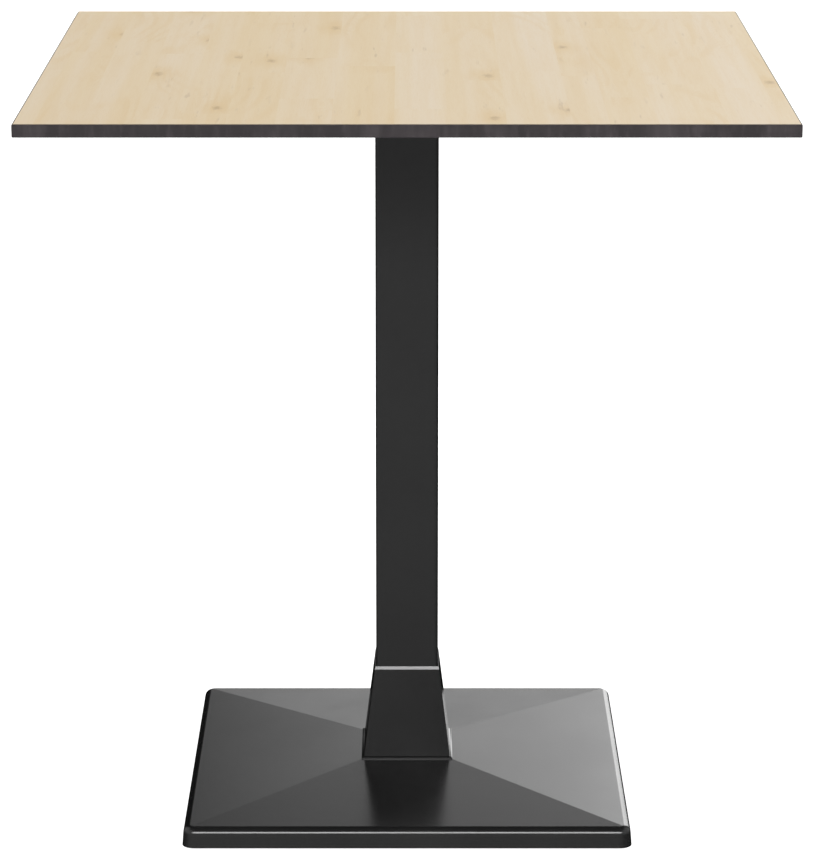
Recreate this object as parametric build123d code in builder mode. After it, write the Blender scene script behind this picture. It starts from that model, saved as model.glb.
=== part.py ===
from build123d import *
import os
from math import radians, tan

# Square bistro table: a compact-laminate top on a tube column, a tapered neck and a pyramid base.
# Millimetres, +Z up. The origin is on the floor, under the middle of the table.

# --- Overall heights
underside_height = 720.0        # floor to the underside of the table top
floor_gap = 2.5                 # floor to the bottom edge of the base, glides screwed in

# --- Table top: a compact panel with a decor sheet on each face
top_side = 700.0
top_thickness = 12.0
sheet_thickness = 0.4
top_edge_chamfer = 0.8
top_corner_radius = 1.5

# --- Spider, the casting under the top
arm_reach = 172.0               # axis to the centre of an arm's round end
arm_root_radius = 24.0
arm_end_radius = 15.0
arm_thickness = 8.0
hub_thickness = 12.0
hub_margin = 10.0               # how far the hub stands out past the column
gusset_thickness = 8.0
gusset_length = 40.0
spigot_depth = 20.0             # how far the spider's spigot reaches into the column
screw_radii = (112.0, 172.0)    # axis to the screws of an arm

# --- Screws and inserts that hold the top
screw_diameter = 6.0
screw_head_diameter = 11.0
screw_head_height = 4.0
screw_socket_width = 4.0
screw_socket_depth = 2.4
screw_end_gap = 1.0             # between a screw's end and the top of its insert
washer_diameter = 12.0
washer_thickness = 1.6
insert_diameter = 8.5
insert_length = 8.5
insert_hole_extra = 0.5         # depth of the blind hole past the insert
screw_hole_clearance = 0.4

# --- Column
column_side = 62.0
column_wall = 2.0
column_corner_radius = 3.0
spigot_clearance = 0.3          # between a spigot and the inside of the column

# --- Tie rod, from the spider to under the base
rod_diameter = 10.0
rod_top_gap = 4.0               # above the rod's end, in the spider's tapped hole
rod_tail = 2.0                  # below the nut
nut_width = 17.0
nut_height = 8.0
rod_washer_diameter = 34.0
rod_washer_thickness = 3.0
spring_washer_diameter = 18.0
spring_washer_thickness = 2.4
spring_washer_slit = 1.5
rod_hole_clearance = 0.5
thread_clearance = 0.05         # radial, between a male thread and its tapped hole

# --- Base casting
base_side = 434.0               # at its bottom edge
base_draft = 4.5                # lean of the rim's wall, degrees
base_corner_radius = 12.0
rim_height = 19.4               # bottom edge to where wall and facet would meet
rim_fillet = 7.0
rim_bottom_fillet = 1.5
pyramid_rise = 10.85            # rim to the neck's seat
rim_wall = 7.0
cavity_fillet = 3.0             # where the hollow's walls meet its roof
plate_thickness = 6.5
rib_thickness = 7.0
centre_boss_diameter = 70.0
centre_recess_diameter = 44.0   # for the tie rod's washer and nut
centre_plate_thickness = 12.5   # the neck's seat down to the recess's roof
base_spigot_height = 28.0
glide_boss_diameter = 26.0
glide_inset = 36.0              # base's edge to a glide's centre
glide_cover = 3.0               # iron left above a glide's tapped hole

# --- Neck sleeve, over the foot of the column
neck_spread = 14.5              # how far the sleeve's foot stands out from the column
neck_height = 89.95             # seat to the sleeve's top
neck_flare_width = 2.5
neck_flare_height = 1.75
neck_top_spread = 1.25          # the sleeve's top edge, out from the column
neck_top_clearance = 0.3
neck_wall = 3.0
ring_height = 3.0               # bevelled trim ring on top of the sleeve
ring_land = 0.3                 # flat left at the ring's top

# --- Levelling glides
pad_diameter = 32.0
pad_thickness = 4.2
pad_hub_diameter = 20.0
pad_hub_height = 6.2
pad_floor = 2.0                 # nylon under the stem's journal
pad_edge_fillet = 1.2
journal_diameter = 10.0
journal_clearance = 0.1
collar_gap = 0.2                # between the pad's hub and the stem's collar
collar_width = 13.0
collar_height = 3.0
collar_stop_gap = 0.1           # between the collar and its boss, glide screwed in
stem_diameter = 8.0
stem_chamfer = 1.0
stem_end_gap = 0.6              # above the stem's end

# --- Places that follow from the sizes above
panel_top = underside_height + top_thickness
seat_height = floor_gap + rim_height + pyramid_rise
seat_side = column_side + 2 * neck_spread
rim_side = base_side - 2 * rim_height * tan(radians(base_draft))
facet_slope = pyramid_rise / ((rim_side - seat_side) / 2)


def facet_height(distance):
    """Height of the outer facets this far from the axis, measured square to a side."""
    return seat_height - facet_slope * (distance - seat_side / 2)


tube_bore_side = column_side - 2 * column_wall
tube_bore_radius = max(column_corner_radius - column_wall, 0.5)
spigot_side = tube_bore_side - 2 * spigot_clearance
column_top = underside_height - hub_thickness
recess_roof = seat_height - centre_plate_thickness
collar_bottom = pad_hub_height + collar_gap
collar_top = collar_bottom + collar_height
boss_bottom = collar_top + collar_stop_gap
glide_place = base_side / 2 - glide_inset
glide_hole_top = facet_height(glide_place) - glide_cover
stem_top = glide_hole_top - stem_end_gap
insert_hole_top = underside_height + insert_length + insert_hole_extra

glide_corners = {
    "front_left": (-glide_place, -glide_place),
    "front_right": (glide_place, -glide_place),
    "back_left": (-glide_place, glide_place),
    "back_right": (glide_place, glide_place),
}
arm_angles = (45, 135, 225, 315)


def finish(builder, name):
    """Labels a finished piece and writes it under its own name."""
    builder.part.label = name
    export_step(builder.part, "parts/" + name + ".step")


def screw_places():
    """Two screws on each arm of the spider, as (distance from the axis, angle)."""
    return [(radius, angle) for radius in screw_radii for angle in arm_angles]


def at_screws():
    """Locations of the screws, seen from above."""
    return Locations(*[Vector(radius, 0).rotate(Axis.Z, angle) for radius, angle in screw_places()])


os.makedirs("parts", exist_ok=True)

# ---------------------------------------------------------------- Table top
# Core: its edge is the visible black edge, with half of each chamfer on it.
core_chamfer = top_edge_chamfer - sheet_thickness
with BuildPart() as table_top_core:
    with BuildSketch(Plane.XY.offset(underside_height + sheet_thickness)):
        RectangleRounded(top_side, top_side, top_corner_radius)
    extrude(amount=top_thickness - 2 * sheet_thickness)
    chamfer(table_top_core.faces().sort_by(Axis.Z)[-1].edges(), core_chamfer)
    chamfer(table_top_core.faces().sort_by(Axis.Z)[0].edges(), core_chamfer)
    with BuildSketch(Plane.XY.offset(underside_height)):
        with at_screws():
            Circle(insert_diameter / 2 + thread_clearance)
    extrude(amount=insert_hole_top - underside_height, mode=Mode.SUBTRACT)
finish(table_top_core, "table_top_core")

# Decor sheets: their edges carry on the core's chamfer to the panel's faces.
sheet_side = top_side - 2 * core_chamfer
with BuildPart() as maple_decor_sheet:
    with BuildSketch(Plane.XY.offset(panel_top - sheet_thickness)):
        RectangleRounded(sheet_side, sheet_side, top_corner_radius - core_chamfer)
    extrude(amount=sheet_thickness, taper=45)
finish(maple_decor_sheet, "maple_decor_sheet")

with BuildPart() as underside_sheet:
    with BuildSketch(Plane.XY.offset(underside_height + sheet_thickness)):
        RectangleRounded(sheet_side, sheet_side, top_corner_radius - core_chamfer)
    extrude(amount=-sheet_thickness, taper=45)
    with BuildSketch(Plane.XY.offset(underside_height)):
        with at_screws():
            Circle(insert_diameter / 2 + thread_clearance)
    extrude(amount=sheet_thickness, mode=Mode.SUBTRACT)
finish(underside_sheet, "underside_sheet")

with BuildPart() as threaded_inserts:
    with BuildSketch(Plane.XY.offset(underside_height)):
        with at_screws():
            Circle(insert_diameter / 2)
            Circle(screw_diameter / 2 + thread_clearance, mode=Mode.SUBTRACT)
    extrude(amount=insert_length)
finish(threaded_inserts, "threaded_inserts")

# ---------------------------------------------------------------- Spider and its screws
with BuildSketch() as arm_outline:
    Circle(arm_root_radius)
    with Locations((arm_reach, 0)):
        Circle(arm_end_radius)
    make_hull()

hub_side = column_side + 2 * hub_margin
gusset_start = column_side / 2 * 2 ** 0.5 + 1
with BuildPart() as top_spider:
    with BuildSketch(Plane.XY.offset(underside_height - arm_thickness)):
        for angle in arm_angles:
            add(arm_outline.sketch, rotation=angle)
    extrude(amount=arm_thickness)
    with BuildSketch(Plane.XY.offset(column_top)):
        RectangleRounded(hub_side, hub_side, hub_margin)
    extrude(amount=hub_thickness)
    # A gusset under each arm, outside the column's corner
    for angle in arm_angles:
        with BuildSketch(Plane.XZ.rotated((0, 0, angle))):
            with BuildLine():
                Polyline(
                    (gusset_start, column_top - gusset_thickness),
                    (gusset_start + gusset_length, underside_height - arm_thickness),
                    (gusset_start, underside_height - arm_thickness),
                    close=True,
                )
            make_face()
        extrude(amount=gusset_thickness / 2, both=True)
    # The spigot that keeps the column square to the spider
    with BuildSketch(Plane.XY.offset(column_top)):
        RectangleRounded(spigot_side, spigot_side, tube_bore_radius)
    extrude(amount=-spigot_depth)
    with BuildSketch(Plane.XY.offset(column_top - spigot_depth)):
        Circle(rod_diameter / 2 + thread_clearance)
    extrude(amount=spigot_depth + hub_thickness, mode=Mode.SUBTRACT)
    with BuildSketch(Plane.XY.offset(underside_height - arm_thickness)):
        with at_screws():
            Circle(screw_diameter / 2 + screw_hole_clearance)
    extrude(amount=arm_thickness, mode=Mode.SUBTRACT)
finish(top_spider, "top_spider")

washer_top = underside_height - arm_thickness
with BuildPart() as screw_washers:
    with BuildSketch(Plane.XY.offset(washer_top - washer_thickness)):
        with at_screws():
            Circle(washer_diameter / 2)
            Circle(screw_diameter / 2 + screw_hole_clearance, mode=Mode.SUBTRACT)
    extrude(amount=washer_thickness)
finish(screw_washers, "screw_washers")

head_top = washer_top - washer_thickness
screw_end = underside_height + insert_length - screw_end_gap
with BuildPart() as top_screws:
    with BuildSketch(Plane.XY.offset(head_top - screw_head_height)):
        with at_screws():
            Circle(screw_head_diameter / 2)
    extrude(amount=screw_head_height)
    fillet(
        top_screws.edges().filter_by(GeomType.CIRCLE).group_by(Axis.Z)[0],
        screw_head_height / 2,
    )
    with BuildSketch(Plane.XY.offset(head_top)):
        with at_screws():
            Circle(screw_diameter / 2)
    extrude(amount=screw_end - head_top)
    with BuildSketch(Plane.XY.offset(head_top - screw_head_height)):
        with at_screws():
            RegularPolygon(screw_socket_width / 2, 6, major_radius=False)
    extrude(amount=screw_socket_depth, mode=Mode.SUBTRACT)
finish(top_screws, "top_screws")

# ---------------------------------------------------------------- Column and tie rod
with BuildPart() as column_tube:
    with BuildSketch(Plane.XY.offset(seat_height)):
        RectangleRounded(column_side, column_side, column_corner_radius)
        RectangleRounded(tube_bore_side, tube_bore_side, tube_bore_radius, mode=Mode.SUBTRACT)
    extrude(amount=column_top - seat_height)
finish(column_tube, "column_tube")

washer_bottom = recess_roof - rod_washer_thickness
spring_washer_bottom = washer_bottom - spring_washer_thickness
nut_bottom = spring_washer_bottom - nut_height
rod_bottom = nut_bottom - rod_tail

with BuildPart() as tie_rod:
    with BuildSketch(Plane.XY.offset(rod_bottom)):
        Circle(rod_diameter / 2)
    extrude(amount=underside_height - rod_top_gap - rod_bottom)
    chamfer(tie_rod.edges().filter_by(GeomType.CIRCLE), stem_chamfer)
finish(tie_rod, "tie_rod")

with BuildPart() as tie_rod_washer:
    with BuildSketch(Plane.XY.offset(washer_bottom)):
        Circle(rod_washer_diameter / 2)
        Circle(rod_diameter / 2 + rod_hole_clearance, mode=Mode.SUBTRACT)
    extrude(amount=rod_washer_thickness)
finish(tie_rod_washer, "tie_rod_washer")

with BuildPart() as tie_rod_spring_washer:
    with BuildSketch(Plane.XY.offset(spring_washer_bottom)):
        Circle(spring_washer_diameter / 2)
        Circle(rod_diameter / 2 + rod_hole_clearance, mode=Mode.SUBTRACT)
        with Locations((spring_washer_diameter / 2, 0)):
            Rectangle(spring_washer_diameter, spring_washer_slit, mode=Mode.SUBTRACT)
    extrude(amount=spring_washer_thickness)
finish(tie_rod_spring_washer, "tie_rod_spring_washer")

with BuildPart() as tie_rod_nut:
    with BuildSketch(Plane.XY.offset(nut_bottom)):
        RegularPolygon(nut_width / 2, 6, major_radius=False)
        Circle(rod_diameter / 2 + thread_clearance, mode=Mode.SUBTRACT)
    extrude(amount=nut_height)
finish(tie_rod_nut, "tie_rod_nut")

# ---------------------------------------------------------------- Base casting


def block_section(foot, lowered, rim_rounding, foot_rounding):
    """Section of a block square to its sides: drafted walls, rounded rims, facets and the seat.

    The foot is the half-width at the bottom, and the facets lie this much lower than the outer ones.
    """
    lean = tan(radians(base_draft))
    rim_z = (facet_height(foot) - lowered - facet_slope * lean * floor_gap) / (1 - facet_slope * lean)
    rim_x = foot - (rim_z - floor_gap) * lean
    seat_z = seat_height - lowered
    with BuildSketch() as section:
        with BuildLine():
            Polyline(
                (foot, floor_gap),
                (rim_x, rim_z),
                (seat_side / 2, seat_z),
                (-seat_side / 2, seat_z),
                (-rim_x, rim_z),
                (-foot, floor_gap),
                close=True,
            )
        make_face()
        rows = section.vertices().group_by(Axis.Y)
        fillet(rows[1], rim_rounding)
        if foot_rounding:
            fillet(rows[0], foot_rounding)
    return section.sketch


def square_block(foot_side, corner_radius, lowered, rim_rounding, foot_rounding=0):
    """A low pyramid-topped block: two crossed extrusions of its section, and round corners."""
    foot = foot_side / 2
    corner = foot - corner_radius
    section = block_section(foot, lowered, rim_rounding, foot_rounding)
    with BuildPart() as round_corner:
        with BuildSketch(Plane.XZ.offset(-corner)):
            add(section)
            with Locations(((corner + foot) / 2, seat_height / 2)):
                Rectangle(corner_radius, seat_height, mode=Mode.INTERSECT)
        revolve(axis=Axis((corner, corner, 0), (0, 0, 1)), revolution_arc=90)
    with BuildPart() as block:
        with BuildSketch(Plane.XZ):
            add(section)
        extrude(amount=foot, both=True)
        with BuildSketch(Plane.YZ):
            add(section)
        extrude(amount=foot, both=True, mode=Mode.INTERSECT)
        with BuildSketch():
            with GridLocations(corner + foot, corner + foot, 2, 2):
                Rectangle(corner_radius, corner_radius)
        extrude(amount=seat_height, mode=Mode.SUBTRACT)
        with PolarLocations(0, 4):
            add(round_corner.part)
    return block.part


# The hollow under the base, with the ribs and bosses left standing in it
with BuildPart() as cavity:
    add(
        square_block(
            base_side - 2 * rim_wall,
            base_corner_radius - rim_wall,
            plate_thickness,
            cavity_fillet,
        )
    )
    with BuildSketch(Plane.XY.offset(boss_bottom)):
        for angle in (45, 135):
            Rectangle(2 * base_side, rib_thickness, rotation=angle)
        with Locations(*glide_corners.values()):
            Circle(glide_boss_diameter / 2)
        Circle(centre_boss_diameter / 2)
    extrude(amount=seat_height - boss_bottom, mode=Mode.SUBTRACT)

with BuildPart() as base_casting:
    add(square_block(base_side, base_corner_radius, 0, rim_fillet, rim_bottom_fillet))
    add(cavity.part, mode=Mode.SUBTRACT)
    # The spigot that the column stands round
    with BuildSketch(Plane.XY.offset(seat_height)):
        RectangleRounded(spigot_side, spigot_side, tube_bore_radius)
    extrude(amount=base_spigot_height)
    # The tie rod's hole, and the recess for its washer and nut
    with BuildSketch(Plane.XY.offset(boss_bottom)):
        Circle(centre_recess_diameter / 2)
    extrude(amount=recess_roof - boss_bottom, mode=Mode.SUBTRACT)
    with BuildSketch(Plane.XY.offset(recess_roof)):
        Circle(rod_diameter / 2 + rod_hole_clearance)
    extrude(amount=centre_plate_thickness + base_spigot_height, mode=Mode.SUBTRACT)
    with BuildSketch(Plane.XY.offset(boss_bottom)):
        with Locations(*glide_corners.values()):
            Circle(stem_diameter / 2 + thread_clearance)
    extrude(amount=glide_hole_top - boss_bottom, mode=Mode.SUBTRACT)
finish(base_casting, "base_casting")

# ---------------------------------------------------------------- Neck sleeve and its trim ring
flare_top = seat_height + neck_flare_height
sleeve_top = seat_height + neck_height
ring_top = sleeve_top + ring_height
opening_side = column_side + 2 * neck_top_clearance
flare_top_side = seat_side - 2 * neck_flare_width
sleeve_top_side = column_side + 2 * neck_top_spread
with BuildPart() as neck_sleeve:
    with BuildSketch(Plane.XY.offset(seat_height)):
        Rectangle(seat_side, seat_side)
    with BuildSketch(Plane.XY.offset(flare_top)):
        Rectangle(flare_top_side, flare_top_side)
    loft()
    with BuildSketch(Plane.XY.offset(flare_top)):
        Rectangle(flare_top_side, flare_top_side)
    with BuildSketch(Plane.XY.offset(sleeve_top)):
        Rectangle(sleeve_top_side, sleeve_top_side)
    loft()
    with BuildSketch(Plane.XY.offset(seat_height)):
        Rectangle(flare_top_side - 2 * neck_wall, flare_top_side - 2 * neck_wall)
    with BuildSketch(Plane.XY.offset(sleeve_top)):
        Rectangle(opening_side, opening_side)
    loft(mode=Mode.SUBTRACT)
finish(neck_sleeve, "neck_sleeve")

# The bevelled ring that closes the sleeve round the column
with BuildPart() as neck_trim_ring:
    with BuildSketch(Plane.XY.offset(sleeve_top)):
        Rectangle(sleeve_top_side, sleeve_top_side)
    with BuildSketch(Plane.XY.offset(ring_top)):
        Rectangle(opening_side + 2 * ring_land, opening_side + 2 * ring_land)
    loft()
    with BuildSketch(Plane.XY.offset(sleeve_top)):
        Rectangle(opening_side, opening_side)
    extrude(amount=ring_height, mode=Mode.SUBTRACT)
finish(neck_trim_ring, "neck_trim_ring")

# ---------------------------------------------------------------- Levelling glides
for corner, place in glide_corners.items():
    with BuildPart() as glide_pad:
        with BuildSketch():
            with Locations(place):
                Circle(pad_diameter / 2)
        extrude(amount=pad_thickness)
        fillet(glide_pad.edges().filter_by(GeomType.CIRCLE), pad_edge_fillet)
        with BuildSketch(Plane.XY.offset(pad_floor)):
            with Locations(place):
                Circle(pad_hub_diameter / 2)
        extrude(amount=pad_hub_height - pad_floor)
        with BuildSketch(Plane.XY.offset(pad_floor)):
            with Locations(place):
                Circle(journal_diameter / 2 + journal_clearance)
        extrude(amount=pad_hub_height - pad_floor, mode=Mode.SUBTRACT)
    finish(glide_pad, "glide_pad_" + corner)

    with BuildPart() as glide_stem:
        with BuildSketch(Plane.XY.offset(pad_floor)):
            with Locations(place):
                Circle(journal_diameter / 2)
        extrude(amount=collar_bottom - pad_floor)
        with BuildSketch(Plane.XY.offset(collar_bottom)):
            with Locations(place):
                RegularPolygon(collar_width / 2, 6, major_radius=False)
        extrude(amount=collar_height)
        with BuildSketch(Plane.XY.offset(collar_top)):
            with Locations(place):
                Circle(stem_diameter / 2)
        extrude(amount=stem_top - collar_top)
        chamfer(glide_stem.edges().filter_by(GeomType.CIRCLE).sort_by(Axis.Z)[-1], stem_chamfer)
    finish(glide_stem, "glide_stem_" + corner)
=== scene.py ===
"""Bistro table: the looks of a square compact-laminate table on a powder-coated pedestal."""

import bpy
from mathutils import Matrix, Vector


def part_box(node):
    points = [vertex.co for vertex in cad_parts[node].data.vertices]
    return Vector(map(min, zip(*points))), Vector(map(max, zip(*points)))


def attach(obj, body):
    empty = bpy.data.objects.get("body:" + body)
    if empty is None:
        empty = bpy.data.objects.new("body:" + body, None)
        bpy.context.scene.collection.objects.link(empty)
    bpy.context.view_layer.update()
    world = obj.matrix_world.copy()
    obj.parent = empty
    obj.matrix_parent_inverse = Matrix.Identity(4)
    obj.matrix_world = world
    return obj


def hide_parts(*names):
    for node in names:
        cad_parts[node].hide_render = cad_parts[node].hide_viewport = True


bl_info = {
    "name": "Bistro table",
    "version": (1, 0, 0),
    "blender": (4, 5, 0),
    "location": "View3D > Sidebar > Bistro table",
    "description": "Finishes, hardware and studio for a square bistro table",
    "category": "Add Mesh",
}

import math

import bmesh
import bpy
from bpy.props import FloatProperty, FloatVectorProperty, IntProperty, PointerProperty
from mathutils import Matrix, Vector

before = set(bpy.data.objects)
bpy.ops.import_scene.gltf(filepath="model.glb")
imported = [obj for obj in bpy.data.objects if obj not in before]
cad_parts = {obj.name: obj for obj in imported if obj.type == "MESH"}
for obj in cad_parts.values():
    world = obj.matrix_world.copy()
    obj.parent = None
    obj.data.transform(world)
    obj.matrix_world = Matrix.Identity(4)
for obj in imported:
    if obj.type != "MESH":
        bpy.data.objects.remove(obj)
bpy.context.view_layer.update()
MM = 0.001
TURN = 2 * math.pi
UP = (0.0, 0.0, 1.0)
CORNERS = ("front_left", "front_right", "back_left", "back_right")

DOUBLE = 0.002 * MM  # Vertices nearer than this are one
THREAD_DEPTH = 0.6134  # Depth of an ISO thread, as a share of its pitch
FLAT_LAND = 0.475  # Radius of a nut's flat face, as a share of its width
HEAD_RADIUS = 5.5 * MM
HEAD_CROWN = 1.9 * MM  # Rounding of a screw's button head
SOCKET_LEAD = 0.2 * MM  # How far a socket's hexagon lies inside its mouth
FOOT_FLARE = 2.5 * MM  # How far the neck's foot stands proud
FOOT_UPRIGHT = 1.3 * MM
FOOT_HEIGHT = 2.1 * MM
PAD_RINGS = (2.5, 5.5, 8.5, 11.5)  # Inner radii of the rings that a pad stands on, in millimetres
PAD_GROOVE = 0.35 * MM  # Depth of the grooves between them

CAMERA_PLACE = (0.0, -3.644329, 1.3074215)
CAMERA_SHIFT = -0.0692666
FLOOR_RADIUS = 45.0

# Softboxes round the table: strength, then degrees of bearing, half width, soft edge, height over
# the floor, half height and its soft edge. Bearing 0 is behind the table and 180 is in front of it.
SOFTBOXES = (
    ("side_light", 15.3, 8.0, 3.0, 11.6, 14.7, 3.0),
    ("back_light", 5.3, 9.0, 6.0, 17.5, 10.0, 5.5),
    ("front_light", 180.0, 21.8, 7.0, 24.0, 7.0, 6.0),
    ("top_light", 0.0, 185.0, 5.0, 90.0, 8.0, 3.0),
    ("low_light", -160.0, 40.0, 40.0, -14.0, 12.0, 14.0),
    ("fill_light", 93.0, 51.0, 15.0, 28.0, 28.0, 12.0),
    ("fill_light", -93.0, 51.0, 15.0, 28.0, 28.0, 12.0),
)


# ---------------------------------------------------------------- Sizes and colours
def colour(name, description, default):
    return FloatVectorProperty(
        name=name, description=description, subtype="COLOR", default=default, min=0.0, max=1.0
    )


def length(name, description, millimetres):
    return FloatProperty(
        name=name,
        description=description,
        default=millimetres * MM,
        min=0.0,
        precision=5,
        subtype="DISTANCE",
        unit="LENGTH",
    )


class BistroColours(bpy.types.PropertyGroup):
    """Colours of the table's finishes."""

    maple: colour("Maple", "Ground colour of the maple decor", (0.775, 0.64, 0.435))
    maple_sap: colour("Maple sap", "Colour of the palest, pinkish staves", (0.79, 0.685, 0.545))
    maple_heart: colour("Maple heart", "Colour of the darker growth rings", (0.71, 0.52, 0.27))
    maple_fleck: colour("Maple fleck", "Colour of the small knots and flecks", (0.34, 0.21, 0.11))
    core: colour("Core", "Black phenolic core at the panel's edge", (0.0185, 0.0148, 0.0160))
    core_dust: colour("Core streaks", "Paler streaks that milling leaves", (0.058, 0.047, 0.051))
    backer: colour("Backer", "Plain black sheet under the panel", (0.030, 0.028, 0.028))
    ring: colour("Trim ring", "Satin ring on top of the neck sleeve", (0.19, 0.19, 0.19))
    ring_bloom: colour("Trim ring bloom", "Paler clouds on the ring", (0.26, 0.26, 0.265))
    coat: colour("Powder coat", "Black coat on the column and the base", (0.0080, 0.0080, 0.0080))
    coat_pale: colour("Coat bloom", "Paler grains in the coat", (0.0140, 0.0140, 0.0140))
    zinc: colour("Zinc", "Bright zinc plate on the screws and nuts", (0.62, 0.62, 0.60))
    zinc_blue: colour("Zinc passivation", "Bluish bloom on the zinc", (0.50, 0.54, 0.60))
    brass: colour("Brass", "Turned brass of the inserts", (0.72, 0.53, 0.25))
    nylon: colour("Nylon", "Black nylon of the glide pads", (0.020, 0.020, 0.021))
    nylon_scuff: colour("Nylon scuffs", "Paler scuffs under the pads", (0.07, 0.07, 0.07))


class BistroHardware(bpy.types.PropertyGroup):
    """Sizes of the hardware's own detail. Places come from the frame."""

    collar_width: length("Collar width", "Across the flats of a stem's hexagon", 13.0)
    collar_height: length("Collar height", "Height of a stem's hexagon", 3.0)
    stem_diameter: length("Stem diameter", "Thread of a levelling stem", 8.0)
    stem_pitch: length("Stem pitch", "Pitch of a levelling stem", 1.25)
    journal_diameter: length("Journal diameter", "The stem's end that turns in its pad", 10.0)
    journal_top: length("Journal top", "Floor to the underside of the hexagon", 6.4)
    pad_thickness: length("Pad thickness", "Height of a pad's rim", 4.2)
    pad_hub_diameter: length("Pad hub", "Diameter of a pad's raised hub", 20.0)
    pad_floor: length("Pad floor", "Nylon under the journal", 2.0)
    screw_diameter: length("Screw diameter", "Thread of the screws that hold the top", 6.0)
    screw_pitch: length("Screw pitch", "Pitch of those screws", 1.0)
    screw_head: length("Screw head", "Height of their button heads", 4.0)
    socket_width: length("Socket width", "Across the flats of their sockets", 4.0)
    socket_depth: length("Socket depth", "Depth of their sockets", 2.4)
    inner_screws: length("Inner screws", "Axis to the inner screws", 112.0)
    outer_screws: length("Outer screws", "Axis to the outer screws", 172.0)
    rod_diameter: length("Rod diameter", "Thread of the tie rod", 10.0)
    rod_pitch: length("Rod pitch", "Pitch of the tie rod", 1.5)
    rod_thread: length("Threaded length", "Thread at each end of the tie rod", 32.0)
    nut_width: length("Nut width", "Across the flats of the nut", 17.0)
    spring_slit: length("Slit", "Width of the spring washer's slit", 1.5)
    neck_wall: length("Neck wall", "Thickness of the neck sleeve", 3.0)
    neck_edge: length("Neck edge", "Rounding of the neck sleeve's corners", 0.6)
    cast_edge: length("Cast edge", "Rounding of the spider's edges", 0.9)
    maple_margin: length("Sanded margin", "Width of the panel's edge where the core shows", 0.95)
    steps: IntProperty(name="Steps", description="Sides of a turned piece", default=40, min=12)


class BistroStudio(bpy.types.PropertyGroup):
    """Floor, lights and camera."""

    floor: colour("Floor", "Colour of the studio floor", (0.9, 0.9, 0.9))
    floor_glow: FloatProperty(
        name="Floor glow", description="Light that the pale floor gives back", default=0.85, min=0.0
    )
    side_light: FloatProperty(
        name="Side light", description="Strength of the softbox at the back right", default=3.0
    )
    back_light: FloatProperty(
        name="Back light", description="Strength of the softbox behind the table", default=1.48
    )
    front_light: FloatProperty(
        name="Front light", description="Strength of the strip behind the camera", default=17.0
    )
    top_light: FloatProperty(
        name="Top light", description="Strength of the softbox overhead", default=12.5
    )
    low_light: FloatProperty(
        name="Low light", description="Strength of the light off the floor in front", default=0.52
    )
    fill_light: FloatProperty(
        name="Fill light", description="Strength of the wide fills at both sides", default=0.8
    )
    lens: FloatProperty(
        name="Lens", description="Focal length, millimetres", default=158.3042, min=20.0
    )
    pitch: FloatProperty(
        name="Pitch",
        description="How far the camera looks down",
        default=0.23780982,
        subtype="ANGLE",
        unit="ROTATION",
    )


# ---------------------------------------------------------------- Node helpers
def put(tree, kind, links=None, **settings):
    """Adds a node. The links are socket names or numbers with a socket or a value for each."""
    made = tree.nodes.new(kind)
    for name, value in settings.items():
        setattr(made, name, value)
    for name, value in (links or {}).items():
        if isinstance(value, bpy.types.NodeSocket):
            tree.links.new(value, made.inputs[name])
        else:
            made.inputs[name].default_value = value
    return made


def sums(tree, operation, first, second=0.0, third=0.0, clamp=False):
    """One step of arithmetic."""
    links = {0: first, 1: second, 2: third}
    return put(tree, "ShaderNodeMath", links, operation=operation, use_clamp=clamp).outputs[0]


def remap(tree, value, low, high, to_low=0.0, to_high=1.0, smooth=True):
    """Takes a value from one range to another."""
    links = {"Value": value, "From Min": low, "From Max": high, "To Min": to_low, "To Max": to_high}
    kind = "SMOOTHSTEP" if smooth else "LINEAR"
    return put(tree, "ShaderNodeMapRange", links, interpolation_type=kind).outputs["Result"]


def noise(tree, vector, scale, detail=2.0, roughness=0.5, distortion=0.0):
    """A soft random value over the surface."""
    links = {
        "Vector": vector,
        "Scale": scale,
        "Detail": detail,
        "Roughness": roughness,
        "Distortion": distortion,
    }
    return put(tree, "ShaderNodeTexNoise", links).outputs["Fac"]


def cells(tree, links, dimensions="1D"):
    """Cells of random width, each with its own colour."""
    return put(tree, "ShaderNodeTexVoronoi", links, voronoi_dimensions=dimensions).outputs


def stretch(tree, vector, scale):
    """The same place, measured with a longer or shorter rule along each axis."""
    links = {"Vector": vector, "Scale": scale}
    return put(tree, "ShaderNodeMapping", links).outputs[0]


def blend(tree, mask, first, second):
    """Two colours mixed by a mask. A Mix node takes colours at inputs 6 and 7."""
    links = {"Factor": mask, 6: first, 7: second}
    return put(tree, "ShaderNodeMix", links, data_type="RGBA").outputs[2]


def new_group(name, inputs, outputs):
    """A node group with named inputs, with their values, and outputs. Returns it and its ends."""
    tree = bpy.data.node_groups.new(name, "ShaderNodeTree")
    for label, value in inputs.items():
        kind = "NodeSocketVector" if value is None else "NodeSocketFloat"
        socket = tree.interface.new_socket(label, in_out="INPUT", socket_type=kind)
        if value is not None:
            socket.default_value = value
    for label in outputs:
        tree.interface.new_socket(label, in_out="OUTPUT", socket_type="NodeSocketFloat")
    start = tree.nodes.new("NodeGroupInput").outputs
    return tree, start, tree.nodes.new("NodeGroupOutput").inputs


def use_group(tree, name, links):
    """Places a node group with this material's own values."""
    return put(tree, "ShaderNodeGroup", links, node_tree=bpy.data.node_groups[name]).outputs


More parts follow.
